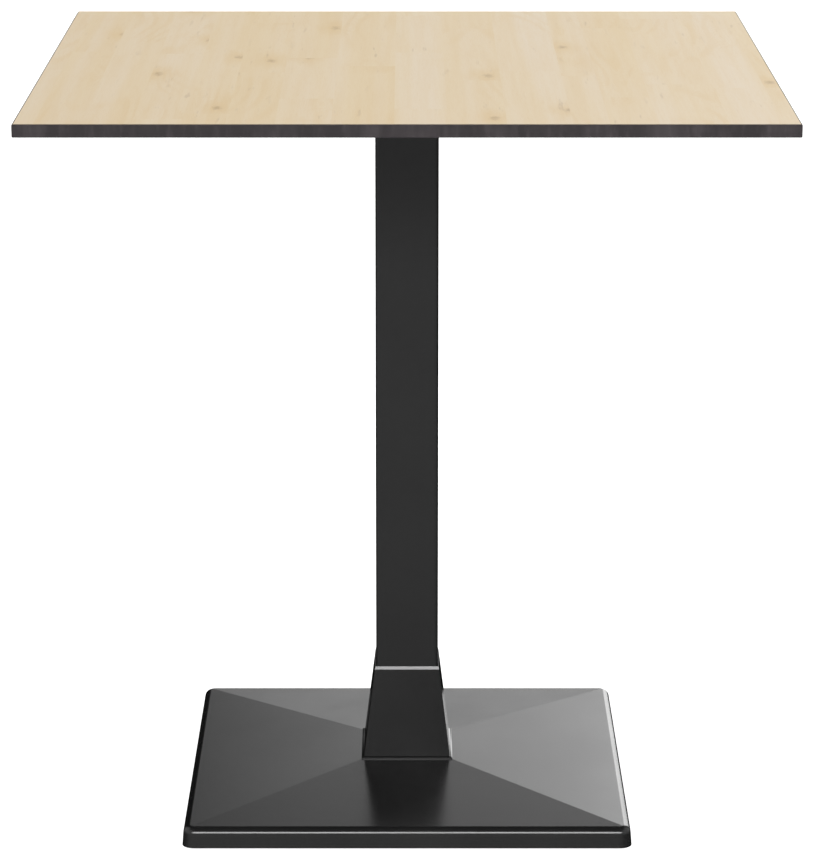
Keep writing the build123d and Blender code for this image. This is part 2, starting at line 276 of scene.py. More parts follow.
def build_grain_group():
    """Fine grain over a slow wave, as powder coat, castings and moulded nylon have."""
    inputs = {"Vector": None, "Grain": 900.0, "Wave": 90.0, "Wave share": 0.5, "Patch": 9.0}
    tree, given, out = new_group("Grained skin", inputs, ("Height", "Grains", "Patches"))
    grain = noise(tree, given["Vector"], given["Grain"], 2.0, 0.55)
    wave = noise(tree, given["Vector"], given["Wave"], 1.0, 0.4)
    height = sums(tree, "MULTIPLY_ADD", wave, given["Wave share"], grain)
    tree.links.new(height, out["Height"])
    tree.links.new(remap(tree, grain, 0.45, 0.75), out["Grains"])
    patches = noise(tree, given["Vector"], given["Patch"], 3.0, 0.6)
    tree.links.new(remap(tree, patches, 0.25, 0.75), out["Patches"])


def build_machining_group():
    """Rings left by turning round an upright axis, and the plate's cloudiness over them."""
    inputs = {"Vector": None, "Ring": 2200.0, "Cloud": 60.0}
    tree, given, out = new_group("Machined skin", inputs, ("Height", "Clouds", "Specks"))
    along = stretch(tree, given["Vector"], (0.02, 0.02, 1.0))
    tree.links.new(noise(tree, along, given["Ring"], 2.0, 0.6), out["Height"])
    cloud = noise(tree, given["Vector"], given["Cloud"], 3.0, 0.6, 0.5)
    tree.links.new(remap(tree, cloud, 0.35, 0.65), out["Clouds"])
    speck = noise(tree, given["Vector"], 1500.0, 2.0, 0.7)
    tree.links.new(remap(tree, speck, 0.6, 0.72), out["Specks"])


def build_maple_group():
    """Figured maple laid as short staves: tones, streaks, growth rings, knots, flecks and pores,
    plus a painted shade that warms and darkens the left side.
    """
    inputs = {
        "Vector": None, "Stave": 21.0, "Cut": 2.7, "Streak": 75.0, "Ring": 26.0, "Knot": 9.0,
        "Painted shade": 0.35,
    }
    outputs = ("Sap", "Warmth and shade", "Streaks", "Rings", "Knots", "Halo", "Flecks", "Pores")
    tree, given, out = new_group("Maple figure", inputs, outputs)
    # Staves run from front to back, and each is cut to random lengths
    sides = put(tree, "ShaderNodeSeparateXYZ", {0: given["Vector"]}).outputs
    stave = cells(tree, {"W": sides["X"], "Scale": given["Stave"], "Randomness": 0.7})["Color"]
    plank = put(tree, "ShaderNodeSeparateColor", {0: stave}).outputs
    along = sums(tree, "MULTIPLY_ADD", plank["Blue"], 40.0, sides["Y"])
    block = cells(tree, {"W": along, "Scale": given["Cut"], "Randomness": 0.8})["Color"]
    tone = put(tree, "ShaderNodeSeparateColor", {0: block}).outputs
    bands = noise(tree, stretch(tree, given["Vector"], (1.0, 0.02, 1.0)), 34.0, 1.0)
    bands = remap(tree, bands, 0.36, 0.64)
    pale = sums(tree, "MULTIPLY", tone["Red"], 0.25)
    pale = sums(tree, "MULTIPLY_ADD", plank["Red"], 0.35, pale)
    tree.links.new(sums(tree, "MULTIPLY_ADD", bands, 0.4, pale), out["Sap"])
    # Painted shade: towards the left edge the maple is pushed to the heart colour, warmer and
    # darker, standing in for less light falling there
    painted_shade = remap(tree, sides["X"], -0.36, 0.2, given["Painted shade"], 0.0, smooth=False)
    warm = sums(tree, "MULTIPLY", tone["Green"], 0.35)
    warm = sums(tree, "MULTIPLY_ADD", plank["Green"], 0.5, warm)
    tree.links.new(sums(tree, "ADD", warm, painted_shade), out["Warmth and shade"])
    # Each block comes from another place in the tree
    shift = put(tree, "ShaderNodeVectorMath", {0: block, 1: (3.0, 5.0, 0.0)}, operation="MULTIPLY")
    moved = put(tree, "ShaderNodeVectorMath", {0: given["Vector"], 1: shift.outputs[0]}).outputs[0]
    streaks = noise(tree, stretch(tree, moved, (1.0, 0.03, 1.0)), given["Streak"], 4.0, 0.65)
    tree.links.new(remap(tree, streaks, 0.32, 0.7), out["Streaks"])
    swirl = noise(tree, stretch(tree, moved, (1.0, 0.13, 1.0)), 8.0, 2.0, 0.45)
    turns = sums(tree, "MULTIPLY", given["Ring"], TURN)
    swirl = sums(tree, "SINE", sums(tree, "MULTIPLY", swirl, turns))
    fade = noise(tree, stretch(tree, moved, (1.0, 0.3, 1.0)), 14.0, 2.0)
    rings = sums(tree, "MULTIPLY", remap(tree, swirl, -0.2, 1.0), remap(tree, fade, 0.42, 0.68))
    lines = noise(tree, stretch(tree, moved, (1.0, 0.16, 1.0)), 11.0, 3.0, 0.5)
    turns = sums(tree, "MULTIPLY", given["Ring"], 4 * TURN)
    lines = sums(tree, "SINE", sums(tree, "MULTIPLY", lines, turns))
    lines = sums(tree, "MULTIPLY", remap(tree, lines, 0.1, 1.0), remap(tree, fade, 0.4, 0.62))
    tree.links.new(sums(tree, "MULTIPLY_ADD", lines, 0.5, rings, clamp=True), out["Rings"])
    squeezed = stretch(tree, moved, (1.0, 0.42, 1.0))
    knots = cells(tree, {"Vector": squeezed, "Scale": given["Knot"]}, "2D")
    chosen = put(tree, "ShaderNodeSeparateColor", {0: knots["Color"]}).outputs["Blue"]
    rare = remap(tree, chosen, 0.5, 0.56)
    ragged = noise(tree, stretch(tree, moved, (1.0, 0.5, 1.0)), 220.0, 3.0, 0.7)
    reach = sums(tree, "MULTIPLY_ADD", ragged, 0.12, knots["Distance"])
    core = sums(tree, "MULTIPLY", remap(tree, reach, 0.12, 0.055), rare)
    tree.links.new(core, out["Knots"])
    torn = noise(tree, stretch(tree, moved, (1.0, 0.12, 1.0)), 60.0, 4.0, 0.7)
    reach = sums(tree, "MULTIPLY_ADD", torn, 0.34, knots["Distance"])
    halo = sums(tree, "MULTIPLY", remap(tree, reach, 0.42, 0.14), rare)
    tree.links.new(halo, out["Halo"])
    flecks = noise(tree, stretch(tree, moved, (1.0, 0.09, 1.0)), 150.0, 2.0, 0.6)
    near = sums(tree, "ADD", remap(tree, knots["Distance"], 0.5, 0.1), 0.25)
    tree.links.new(sums(tree, "MULTIPLY", remap(tree, flecks, 0.63, 0.76), near), out["Flecks"])
    pores = noise(tree, stretch(tree, given["Vector"], (1.0, 0.05, 1.0)), 900.0, 2.0, 0.6)
    tree.links.new(pores, out["Pores"])


def build_core_group():
    """Milling marks on the edge of the laminate's core."""
    inputs = {"Vector": None, "Mark": 120.0, "Cloud": 26.0}
    tree, given, out = new_group("Milled edge", inputs, ("Marks", "Clouds", "Height"))
    upright = stretch(tree, given["Vector"], (1.0, 1.0, 0.25))
    marks = noise(tree, upright, given["Mark"], 3.0, 0.6)
    clouds = noise(tree, upright, given["Cloud"], 3.0, 0.65, 0.3)
    tree.links.new(remap(tree, marks, 0.45, 0.8), out["Marks"])
    tree.links.new(remap(tree, clouds, 0.45, 0.75), out["Clouds"])
    layers = noise(tree, stretch(tree, given["Vector"], (0.03, 0.03, 1.0)), 2600.0, 1.0)
    tree.links.new(sums(tree, "MULTIPLY_ADD", layers, 0.6, marks), out["Height"])


def build_softbox_group():
    """One soft-edged box of light, placed by its bearing and height as seen from the table."""
    inputs = {
        "Bearing": 0.0, "Height": 0.0, "Centre": 0.0, "Half width": 20.0, "Edge": 5.0,
        "Level": 10.0, "Half height": 10.0, "Rim": 5.0, "Strength": 1.0,
    }
    tree, given, out = new_group("Softbox", inputs, ("Light",))
    turn = sums(tree, "SUBTRACT", given["Bearing"], given["Centre"])
    turn = sums(tree, "ABSOLUTE", sums(tree, "WRAP", turn, 180.0, -180.0))
    inside = remap(
        tree, turn,
        sums(tree, "ADD", given["Half width"], given["Edge"]),
        sums(tree, "SUBTRACT", given["Half width"], given["Edge"]),
    )
    lift = sums(tree, "ABSOLUTE", sums(tree, "SUBTRACT", given["Height"], given["Level"]))
    between = remap(
        tree, lift,
        sums(tree, "ADD", given["Half height"], given["Rim"]),
        sums(tree, "SUBTRACT", given["Half height"], given["Rim"]),
    )
    both = sums(tree, "MULTIPLY", inside, between)
    tree.links.new(sums(tree, "MULTIPLY", both, given["Strength"]), out["Light"])


# ---------------------------------------------------------------- Materials
def material(slot):
    """The frame's material for a slot, emptied. Returns its tree, shader and Object place."""
    made = bpy.data.materials.get(slot) or bpy.data.materials.new(slot)
    made.use_nodes = True
    tree = made.node_tree
    tree.nodes.clear()
    shader = tree.nodes.new("ShaderNodeBsdfPrincipled")
    output = tree.nodes.new("ShaderNodeOutputMaterial")
    tree.links.new(shader.outputs[0], output.inputs["Surface"])
    place = tree.nodes.new("ShaderNodeTexCoord").outputs["Object"]
    return tree, shader, place


def opaque(colour_values):
    """A colour with its alpha."""
    return (*colour_values, 1.0)


def wear(tree, shader, mask, smooth_rough, worn_rough, low=0.0, high=1.0):
    """Roughness that goes from one value to another with a mask."""
    rough = remap(tree, mask, low, high, smooth_rough, worn_rough, smooth=False)
    tree.links.new(rough, shader.inputs["Roughness"])


def bump(tree, shader, height, depth, strength=0.5):
    """Relief on a finish, with its depth in millimetres."""
    links = {"Height": height, "Distance": depth * MM, "Strength": strength}
    made = put(tree, "ShaderNodeBump", links)
    tree.links.new(made.outputs[0], shader.inputs["Normal"])


def finish_maple(colours, margin):
    """The maple print. Along the panel's sanded edge the black core shows through it."""
    tree, shader, place = material("maple_decor")
    figure = use_group(tree, "Maple figure", {"Vector": place})
    heart = opaque(colours.maple_heart)
    fleck = opaque(colours.maple_fleck)
    ground = blend(tree, figure["Sap"], opaque(colours.maple), opaque(colours.maple_sap))
    # The warmth layer holds the staves' own tones and the painted shade on the left side
    layers = (("Warmth and shade", 0.17), ("Streaks", 0.24), ("Rings", 0.26), ("Halo", 0.55))
    for name, share in layers:
        ground = blend(tree, sums(tree, "MULTIPLY", figure[name], share), ground, heart)
    lined = remap(tree, figure["Pores"], 0.5, 0.75, 0.0, 0.12)
    ground = blend(tree, lined, ground, heart)
    for name, share in (("Flecks", 0.2), ("Knots", 0.42)):
        ground = blend(tree, sums(tree, "MULTIPLY", figure[name], share), ground, fleck)
    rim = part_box("maple_decor_sheet")[1].x
    sides = put(tree, "ShaderNodeSeparateXYZ", {0: place}).outputs
    across, along = (sums(tree, "ABSOLUTE", sides[axis]) for axis in "XY")
    reach = sums(tree, "MAXIMUM", across, along)
    sanded = remap(tree, reach, rim - margin, rim - margin + 0.1 * MM)
    ground = blend(tree, sanded, ground, opaque(colours.core))
    tree.links.new(ground, shader.inputs["Base Color"])
    wear(tree, shader, figure["Pores"], 0.52, 0.64, 0.2, 0.8)
    shader.inputs["Specular IOR Level"].default_value = 0.2
    skin = use_group(tree, "Grained skin", {"Vector": place, "Grain": 2400.0, "Wave": 300.0})
    height = sums(tree, "MULTIPLY_ADD", skin["Height"], 0.5, figure["Pores"])
    bump(tree, shader, height, 0.03)


def finish_core(colours):
    """Black phenolic, with the streaks and clouds that milling leaves on its edge."""
    tree, shader, place = material("laminate_core")
    edge = use_group(tree, "Milled edge", {"Vector": place})
    mask = sums(tree, "MULTIPLY", edge["Marks"], 0.45)
    mask = sums(tree, "MULTIPLY_ADD", edge["Clouds"], 0.45, mask, clamp=True)
    tone = blend(tree, mask, opaque(colours.core), opaque(colours.core_dust))
    tree.links.new(tone, shader.inputs["Base Color"])
    wear(tree, shader, edge["Clouds"], 0.42, 0.56)
    shader.inputs["Specular IOR Level"].default_value = 0.32
    bump(tree, shader, edge["Height"], 0.06, 0.6)


def finish_backer(colours):
    """The plain black sheet under the panel."""
    tree, shader, place = material("backer_black")
    links = {"Vector": place, "Grain": 1300.0, "Wave": 160.0, "Patch": 6.0}
    skin = use_group(tree, "Grained skin", links)
    tone = blend(tree, skin["Grains"], opaque(colours.backer), opaque(colours.core_dust))
    tree.links.new(tone, shader.inputs["Base Color"])
    wear(tree, shader, skin["Patches"], 0.44, 0.54)
    bump(tree, shader, skin["Height"], 0.05)


def finish_coat(colours, slot, grain, wave_share, depth, low_rough, high_rough):
    """Black powder coat. A casting shows a coarser skin through it than a drawn tube."""
    tree, shader, place = material(slot)
    links = {"Vector": place, "Grain": grain, "Wave": grain / 9, "Wave share": wave_share}
    skin = use_group(tree, "Grained skin", links)
    mask = sums(tree, "MULTIPLY", skin["Grains"], 0.6)
    mask = sums(tree, "MULTIPLY_ADD", skin["Patches"], 0.25, mask, clamp=True)
    tone = blend(tree, mask, opaque(colours.coat), opaque(colours.coat_pale))
    tree.links.new(tone, shader.inputs["Base Color"])
    wear(tree, shader, skin["Patches"], low_rough, high_rough)
    bump(tree, shader, skin["Height"], depth)


def finish_metal(slot, ground, bloom, low_rough, high_rough):
    """Turned or plated metal, with a cloudy bloom over its fine rings."""
    tree, shader, place = material(slot)
    skin = use_group(tree, "Machined skin", {"Vector": place})
    mask = sums(tree, "MULTIPLY", skin["Clouds"], 0.6)
    mask = sums(tree, "MULTIPLY_ADD", skin["Specks"], 0.4, mask)
    tone = blend(tree, mask, opaque(ground), opaque(bloom))
    tree.links.new(tone, shader.inputs["Base Color"])
    wear(tree, shader, skin["Clouds"], low_rough, high_rough)
    shader.inputs["Metallic"].default_value = 1.0
    bump(tree, shader, skin["Height"], 0.02)


def finish_nylon(colours):
    """Moulded nylon, scuffed where a pad slides on the floor."""
    tree, shader, place = material("glide_nylon")
    links = {"Vector": place, "Grain": 1600.0, "Wave": 200.0, "Patch": 70.0}
    skin = use_group(tree, "Grained skin", links)
    height = put(tree, "ShaderNodeSeparateXYZ", {0: place}).outputs["Z"]
    worn = sums(tree, "MULTIPLY", remap(tree, height, 0.0012, 0.0001), skin["Patches"])
    tone = blend(tree, worn, opaque(colours.nylon), opaque(colours.nylon_scuff))
    tree.links.new(tone, shader.inputs["Base Color"])
    wear(tree, shader, skin["Patches"], 0.42, 0.58)
    bump(tree, shader, skin["Height"], 0.04)


# ---------------------------------------------------------------- Mesh helpers
def points(geometry):
    """The vertices among an operator's results."""
    return [item for item in geometry if isinstance(item, bmesh.types.BMVert)]


def open_edges(bm):
    """The edges of a mesh's holes."""
    return [edge for edge in bm.edges if edge.is_boundary]


def circle(bm, radius, height, sides):
    """A ring of edges round the axis."""
    made = bmesh.ops.create_circle(bm, cap_ends=False, segments=sides, radius=radius)["verts"]
    bmesh.ops.translate(bm, verts=made, vec=(0, 0, height))
    return list({edge for vert in made for edge in vert.link_edges})


def merge(bm):
    """Merges doubles and turns the faces outwards."""
    bmesh.ops.remove_doubles(bm, verts=bm.verts, dist=DOUBLE)
    bmesh.ops.dissolve_degenerate(bm, edges=bm.edges, dist=DOUBLE / 2)
    bmesh.ops.recalc_face_normals(bm, faces=bm.faces)


def close_up(bm, sharp=32.0):
    """Merges doubles, turns the faces outwards and marks the edges that stay crisp."""
    merge(bm)
    for face in bm.faces:
        face.smooth = True
    for edge in bm.edges:
        if len(edge.link_faces) == 2:
            edge.smooth = edge.calc_face_angle(0.0) < math.radians(sharp)


def add_piece(name, bm, body, slot, *nodes):
    """Puts a finished mesh in the scene in place of CAD nodes."""
    mesh = bpy.data.meshes.new(name)
    bm.to_mesh(mesh)
    bm.free()
    mesh.materials.append(bpy.data.materials[slot])
    made = bpy.data.objects.new(name, mesh)
    bpy.context.scene.collection.objects.link(made)
    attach(made, body)
    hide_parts(*nodes)


def give_finish(node, slot):
    """A CAD node that keeps its shape gets its finish."""
    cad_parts[node].material_slots[0].material = bpy.data.materials[slot]


def join(bm, part):
    """Moves one mesh into another."""
    carrier = bpy.data.meshes.new("carrier")
    part.to_mesh(carrier)
    part.free()
    bm.from_mesh(carrier)
    bpy.data.meshes.remove(carrier)


def turned(outline, steps, roundings=None):
    """A closed or axis-to-axis outline of (radius, height) pairs, turned about the upright axis.

    The roundings give a radius for some of the outline's points, by their number.
    """
    bm = bmesh.new()
    verts = [bm.verts.new((radius, 0.0, height)) for radius, height in outline]
    bm.faces.new(verts)
    for index, radius in (roundings or {}).items():
        bmesh.ops.bevel(
            bm, geom=[verts[index]], affect="VERTICES", offset=radius, segments=4,
            profile=0.5, material=-1,
        )
    bmesh.ops.delete(bm, geom=bm.faces[:], context="FACES_ONLY")
    on_axis = [edge for edge in bm.edges if all(vert.co.x < 0.001 * MM for vert in edge.verts)]
    bmesh.ops.delete(bm, geom=on_axis, context="EDGES")
    bmesh.ops.spin(
        bm, geom=bm.verts[:] + bm.edges[:], cent=(0, 0, 0), axis=UP, angle=TURN, steps=steps,
        use_merge=True,
    )
    merge(bm)
    return bm


def cut_flat(bm, place, normal):
    """Cuts everything past a plane off, and closes the cut."""
    bmesh.ops.bisect_plane(
        bm, geom=bm.verts[:] + bm.edges[:] + bm.faces[:], plane_co=place, plane_no=normal,
        clear_outer=True, dist=0.0001 * MM,
    )
    bmesh.ops.holes_fill(bm, edges=open_edges(bm), sides=0)


def thread(radius, pitch, low, high, steps, chamfer):
    """A closed length of right-handed ISO thread."""
    inner = radius - THREAD_DEPTH * pitch
    tooth = ((inner, 0.0), (inner, 0.25), (radius, 0.5625), (radius, 0.6875), (inner, 1.0))
    turns = math.ceil((high - low) / pitch) + 2
    bm = bmesh.new()
    verts = [bm.verts.new((r, 0.0, low + (z - 1.5) * pitch)) for r, z in tooth]
    edges = [bm.edges.new(pair) for pair in zip(verts, verts[1:])]
    bmesh.ops.spin(
        bm, geom=verts + edges, cent=(0, 0, 0), axis=UP, dvec=(0, 0, pitch / steps),
        angle=TURN * turns, steps=steps * turns,
    )
    bmesh.ops.remove_doubles(bm, verts=bm.verts, dist=0.004 * MM)
    cut_flat(bm, (0, 0, low), (0, 0, -1))
    cut_flat(bm, (0, 0, high), (0, 0, 1))
    for vert in bm.verts:
        reach = math.hypot(vert.co.x, vert.co.y)
        room = radius - chamfer + min(high - vert.co.z, vert.co.z - low)
        if reach > room:
            vert.co.x *= room / reach
            vert.co.y *= room / reach
    bmesh.ops.recalc_face_normals(bm, faces=bm.faces)
    return bm


def hexagon(width, low, high, chamfer_low=True, chamfer_high=True):
    """A hexagonal prism with the corners of its faces turned off at thirty degrees."""
    bm = bmesh.new()
    bmesh.ops.create_circle(bm, cap_ends=True, segments=6, radius=width / math.sqrt(3))
    bmesh.ops.translate(bm, verts=bm.verts, vec=(0, 0, low))
    walls = bmesh.ops.extrude_face_region(bm, geom=bm.faces[:])
    bmesh.ops.translate(bm, verts=points(walls["geom"]), vec=(0, 0, high - low))
    bmesh.ops.recalc_face_normals(bm, faces=bm.faces)
    tilt = math.radians(30)
    land = FLAT_LAND * width
    for face_height, wanted, way in ((low, chamfer_low, -1), (high, chamfer_high, 1)):
        for step in range(36 if wanted else 0):
            bearing = TURN * (step + 0.5) / 36
            out = Vector((math.cos(bearing), math.sin(bearing), 0))
            normal = out * math.sin(tilt) + Vector((0, 0, way * math.cos(tilt)))
            cut_flat(bm, out * land + Vector((0, 0, face_height)), normal)
    bmesh.ops.remove_doubles(bm, verts=bm.verts, dist=0.01 * MM)
    return bm


def softened(node, width, segments):
    """A merged copy of a CAD node with its sharp edges rounded."""
    bm = bmesh.new()
    bm.from_mesh(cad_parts[node].data)
    bmesh.ops.remove_doubles(bm, verts=bm.verts, dist=DOUBLE)
    bmesh.ops.dissolve_limit(
        bm, angle_limit=math.radians(0.6), verts=bm.verts, edges=bm.edges,
        use_dissolve_boundaries=False,
    )
    crisp = [
        edge for edge in bm.edges
        if len(edge.link_faces) == 2 and edge.calc_face_angle(0.0) > math.radians(28)
    ]
    bmesh.ops.bevel(
        bm, geom=crisp, affect="EDGES", offset=width, offset_type="OFFSET", segments=segments,
        profile=0.5, material=-1, clamp_overlap=True,
    )
    return bm


def spread_out(bm, places):
    """Repeats a mesh that stands on the axis at each of these places, and removes the first."""
    first = bm.verts[:] + bm.edges[:] + bm.faces[:]
    for place in places:
        copy = bmesh.ops.duplicate(bm, geom=first)
        bmesh.ops.translate(bm, verts=points(copy["geom"]), vec=(*place, 0))
    bmesh.ops.delete(bm, geom=points(first), context="VERTS")


def middle(node):
    """Where a node's axis stands on the floor."""
    low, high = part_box(node)
    return ((low.x + high.x) / 2, (low.y + high.y) / 2)


# ---------------------------------------------------------------- Operators
class BISTRO_OT_finishes(bpy.types.Operator):
    """Mix the table's finishes"""

    bl_idname = "bistro.finishes"
    bl_label = "Finishes"

    def execute(self, context):
        colours = context.scene.bistro_colours
        build_grain_group()
        build_machining_group()
        build_maple_group()
        build_core_group()
        finish_maple(colours, context.scene.bistro_hardware.maple_margin)
        finish_core(colours)
        finish_backer(colours)
        finish_coat(colours, "black_steel", 1100.0, 0.6, 0.04, 0.19, 0.24)
        finish_coat(colours, "black_cast_iron", 800.0, 0.9, 0.05, 0.20, 0.25)
        finish_metal("zinc_steel", colours.zinc, colours.zinc_blue, 0.22, 0.38)
        finish_metal("satin_ring", colours.ring, colours.ring_bloom, 0.42, 0.52)
        finish_metal("insert_brass", colours.brass, colours.brass, 0.25, 0.4)
        finish_nylon(colours)
        return {"FINISHED"}


class BISTRO_OT_table_top(bpy.types.Operator):
    """Finish the panel: maple decor on top, a black backer under it and the milled core between"""

    bl_idname = "bistro.table_top"
    bl_label = "Table top"

    def execute(self, context):
        give_finish("maple_decor_sheet", "maple_decor")
        give_finish("underside_sheet", "backer_black")
        give_finish("table_top_core", "laminate_core")
        give_finish("threaded_inserts", "insert_brass")
        return {"FINISHED"}


class BISTRO_OT_pedestal(bpy.types.Operator):
    """Coat the column and the base, and fold the neck sleeve between them"""

    bl_idname = "bistro.pedestal"
    bl_label = "Pedestal"

    def execute(self, context):
        sizes = context.scene.bistro_hardware
        give_finish("column_tube", "black_steel")
        give_finish("base_casting", "black_cast_iron")
        give_finish("neck_trim_ring", "satin_ring")
        low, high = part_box("neck_sleeve")
        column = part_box("column_tube")[1].x
        ring_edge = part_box("neck_trim_ring")[1].x
        # Half-widths and heights: up the outside, over the top and down the inside
        rings = (
            (high.x, low.z),
            (high.x, low.z + FOOT_UPRIGHT),
            (high.x - FOOT_FLARE, low.z + FOOT_HEIGHT),
            (ring_edge, high.z),
            (column + 0.3 * MM, high.z),
            (high.x - FOOT_FLARE - sizes.neck_wall, low.z),
        )
        bm = bmesh.new()
        loops = []
        for half, height in rings:
            made = bmesh.ops.create_grid(bm, x_segments=1, y_segments=1, size=half)["verts"]
            bmesh.ops.translate(bm, verts=made, vec=(0, 0, height))
            loops.append(made)
        bmesh.ops.delete(bm, geom=bm.faces[:], context="FACES_ONLY")
        for first, second in zip(loops, loops[1:] + loops[:1]):
            edges = [
                edge for loop in (first, second)
                for edge in {edge for vert in loop for edge in vert.link_edges}
                if all(vert in loop for vert in edge.verts)
            ]
            bmesh.ops.bridge_loops(bm, edges=edges)
        bmesh.ops.recalc_face_normals(bm, faces=bm.faces)
        posts = []
        for edge in bm.edges:
            ends = [vert.co for vert in edge.verts]
            upright = abs(ends[0].z - ends[1].z) > MM
            outside = all(abs(end.x) > column + 0.5 * MM for end in ends)
            if upright and outside:
                posts.append(edge)
        bmesh.ops.bevel(
            bm, geom=posts, affect="EDGES", offset=sizes.neck_edge, segments=3, profile=0.5,
            material=-1,
        )
        close_up(bm, 20.0)
        add_piece("neck_sleeve_shell", bm, "table", "black_steel", "neck_sleeve")
        return {"FINISHED"}


class BISTRO_OT_spider(bpy.types.Operator):
    """Cast the spider under the top, with its screws and washers"""

    bl_idname = "bistro.spider"
    bl_label = "Spider and screws"

    def execute(self, context):
        sizes = context.scene.bistro_hardware
        bm = softened("top_spider", sizes.cast_edge, 2)
        close_up(bm, 40.0)
        for face in bm.faces:
            # A wide face stays flat, so that only the narrow roundings turn the light
            width = face.calc_area() / max(edge.calc_length() for edge in face.edges)
            face.smooth = width < 1.5 * MM
        add_piece("top_spider_casting", bm, "table", "black_cast_iron", "top_spider")
        bearings = [TURN * (quarter + 0.5) / 4 for quarter in range(4)]
        places = [
            (reach * math.cos(bearing), reach * math.sin(bearing))
            for reach in (sizes.inner_screws, sizes.outer_screws)
            for bearing in bearings
        ]
        low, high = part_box("top_screws")
        socket_radius = sizes.socket_width / math.sqrt(3)
        head_top = low.z + sizes.screw_head
        outline = (
            (socket_radius + 0.35 * MM, low.z),
            (HEAD_RADIUS, low.z),
            (HEAD_RADIUS, head_top),
            (0.0, head_top),
            (0.0, low.z),
        )
        head = turned(outline, sizes.steps, {1: HEAD_CROWN})
        bottom = [
            vert for vert in head.verts
            if abs(vert.co.z - low.z) < 0.01 * MM
            and math.hypot(vert.co.x, vert.co.y) < HEAD_RADIUS / 5
        ]
        bmesh.ops.delete(head, geom=bottom, context="VERTS")
        rim = open_edges(head)
        mouth = circle(head, socket_radius, low.z + SOCKET_LEAD, 6)
        bmesh.ops.bridge_loops(head, edges=rim + mouth)
        walls = bmesh.ops.extrude_edge_only(head, edges=mouth)["geom"]
        deep = sizes.socket_depth - SOCKET_LEAD
        bmesh.ops.translate(head, verts=points(walls), vec=(0, 0, deep))
        bmesh.ops.holes_fill(head, edges=open_edges(head), sides=0)
        radius = sizes.screw_diameter / 2
        start = head_top - 0.3 * MM
        join(head, thread(radius, sizes.screw_pitch, start, high.z, 20, 0.6 * MM))
        spread_out(head, places)
        close_up(head, 30.0)
        add_piece("socket_screws", head, "table", "zinc_steel", "top_screws")
        low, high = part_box("screw_washers")
        ring = (
            (3.4 * MM, low.z), (6.0 * MM, low.z), (6.0 * MM, high.z), (3.4 * MM, high.z),
        )
        bm = turned(ring, sizes.steps, {1: 0.25 * MM, 2: 0.45 * MM})
        spread_out(bm, places)
        close_up(bm)
        add_piece("flat_washers", bm, "table", "zinc_steel", "screw_washers")
        return {"FINISHED"}


class BISTRO_OT_tie_rod(bpy.types.Operator):
    """Thread the tie rod and stack its washers and nut under the base"""

    bl_idname = "bistro.tie_rod"
    bl_label = "Tie rod"

    def execute(self, context):
        sizes = context.scene.bistro_hardware
        radius = sizes.rod_diameter / 2
        low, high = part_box("tie_rod")
        bm = thread(radius, sizes.rod_pitch, low.z, low.z + sizes.rod_thread, 24, MM)
        join(bm, thread(radius, sizes.rod_pitch, high.z - sizes.rod_thread, high.z, 24, MM))
        shank = radius - 0.31 * sizes.rod_pitch
        start = low.z + sizes.rod_thread - MM
        end = high.z - sizes.rod_thread + MM
        join(bm, turned(((0, start), (shank, start), (shank, end), (0, end)), sizes.steps))
        close_up(bm, 25.0)
        add_piece("threaded_tie_rod", bm, "table", "zinc_steel", "tie_rod")
        low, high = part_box("tie_rod_nut")
        bm = hexagon(sizes.nut_width, low.z, high.z)
        caps = [face for face in bm.faces if abs(face.normal.z) > 0.99]
        outer = [edge for face in caps for edge in face.edges]
        bmesh.ops.delete(bm, geom=caps, context="FACES_ONLY")
        bore = radius + 0.05 * MM
        lead = 0.6 * MM
        mouth = bore + lead
        rings = []
        for height, reach in (
            (low.z, mouth), (low.z + lead, bore), (high.z - lead, bore), (high.z, mouth),
        ):
            rings.append(circle(bm, reach, height, 36))
        for first, second in zip(rings, rings[1:]):
            bmesh.ops.bridge_loops(bm, edges=first + second)
        for ring, height in ((rings[0], low.z), (rings[3], high.z)):
            around = [
                edge for edge in outer
                if all(abs(vert.co.z - height) < 0.02 * MM for vert in edge.verts)
            ]
            bmesh.ops.bridge_loops(bm, edges=ring + around)
        close_up(bm, 20.0)
        add_piece("hexagon_nut", bm, "table", "zinc_steel", "tie_rod_nut")
        low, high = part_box("tie_rod_washer")
        inner = radius + 0.5 * MM
        ring = ((inner, low.z), (high.x, low.z), (high.x, high.z), (inner, high.z))
        bm = turned(ring, 64, {0: 0.3 * MM, 1: 0.7 * MM, 2: 0.3 * MM, 3: 0.3 * MM})
        close_up(bm)
        add_piece("plate_washer", bm, "table", "zinc_steel", "tie_rod_washer")
        low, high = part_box("tie_rod_spring_washer")
        outside = -low.x
        bm = bmesh.new()
        corners = ((inner, low.z), (outside, low.z), (outside, high.z), (inner, high.z))
        verts = [bm.verts.new((r, 0.0, z)) for r, z in corners]
        section = bm.faces.new(verts)
        half_slit = math.asin(sizes.spring_slit / 2 / outside) * 1.1
        bmesh.ops.rotate(bm, verts=verts, cent=(0, 0, 0), matrix=Matrix.Rotation(half_slit, 3, "Z"))
        bmesh.ops.spin(
            bm, geom=[section], cent=(0, 0, 0), axis=UP, angle=TURN - 2 * half_slit, steps=60,
        )
        if not any(face.is_valid and abs(face.calc_center_median().y) < MM for face in bm.faces):
            raise RuntimeError("the spring washer lost its ends")
        close_up(bm)
        add_piece("spring_washer", bm, "table", "zinc_steel", "tie_rod_spring_washer")
        return {"FINISHED"}


